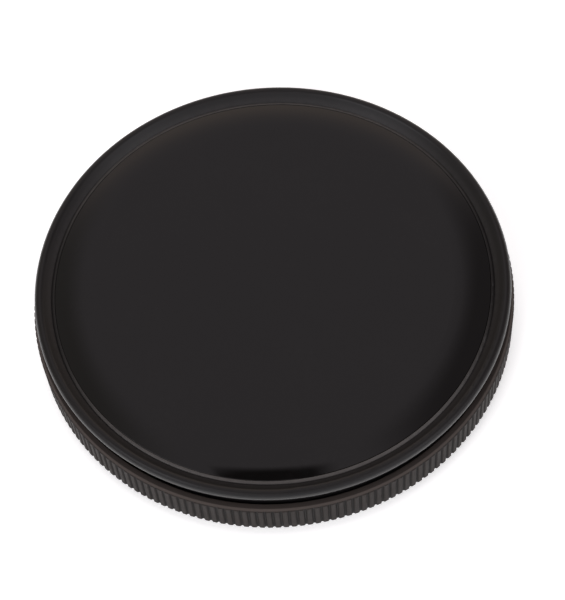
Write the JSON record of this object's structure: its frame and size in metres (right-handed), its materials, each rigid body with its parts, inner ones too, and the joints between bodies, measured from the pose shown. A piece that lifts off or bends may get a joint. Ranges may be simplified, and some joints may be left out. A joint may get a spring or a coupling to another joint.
{
  "type": "survey prism",
  "caption": "Slim solar survey prism attachment: crowned black filter glass in a rounded rotating bezel on a knurled screw-on ring, with wedge prisms behind the glass.",
  "frame": {"origin": "on the optical axis, in the plane of the threaded spigot's free end, which is the lowest plane of the part", "axes": "+Z is the optical axis and points out of the dark glass; X and Y lie in the plane of the rings"},
  "size_m": [0.0626, 0.0626, 0.0104],
  "materials": {
    "anodised_ring": "satin black anodised, fine bead-blasted grain",
    "bezel_black": "semi-gloss black",
    "inner_anodise": "matt black anodised",
    "dark_glass": "polished, neutral black filter glass",
    "clear_glass": "polished crown glass",
    "black_rubber": "matt nitrile rubber",
    "collar_plastic": "black acetal, turned",
    "ptfe": "white PTFE sheet",
    "spring_steel": "drawn spring wire"
  },
  "bodies": {
    "mount": {"mount_ring": "anodised_ring", "retaining_wire": "spring_steel", "glide_washer": "ptfe"},
    "cell": {"cell_barrel": "inner_anodise", "bezel_ring": "bezel_black", "front_gasket": "black_rubber", "dark_filter_glass": "dark_glass", "spacer_ring": "inner_anodise", "wedge_prism_1": "clear_glass", "wedge_prism_2": "clear_glass", "wedge_prism_3": "clear_glass", "wedge_prism_4": "clear_glass", "wedge_collar": "collar_plastic", "carrier_plate": "clear_glass", "rear_gasket": "black_rubber", "rear_retaining_ring": "inner_anodise", "friction_o_ring": "black_rubber"}
  },
  "joints": [
    {"name": "cell_rotation", "type": "hinge", "parent": "mount", "child": "cell", "pos_m": [0, 0, 0.0055], "axis": [0, 0, 1], "continuous": true}
  ]
}
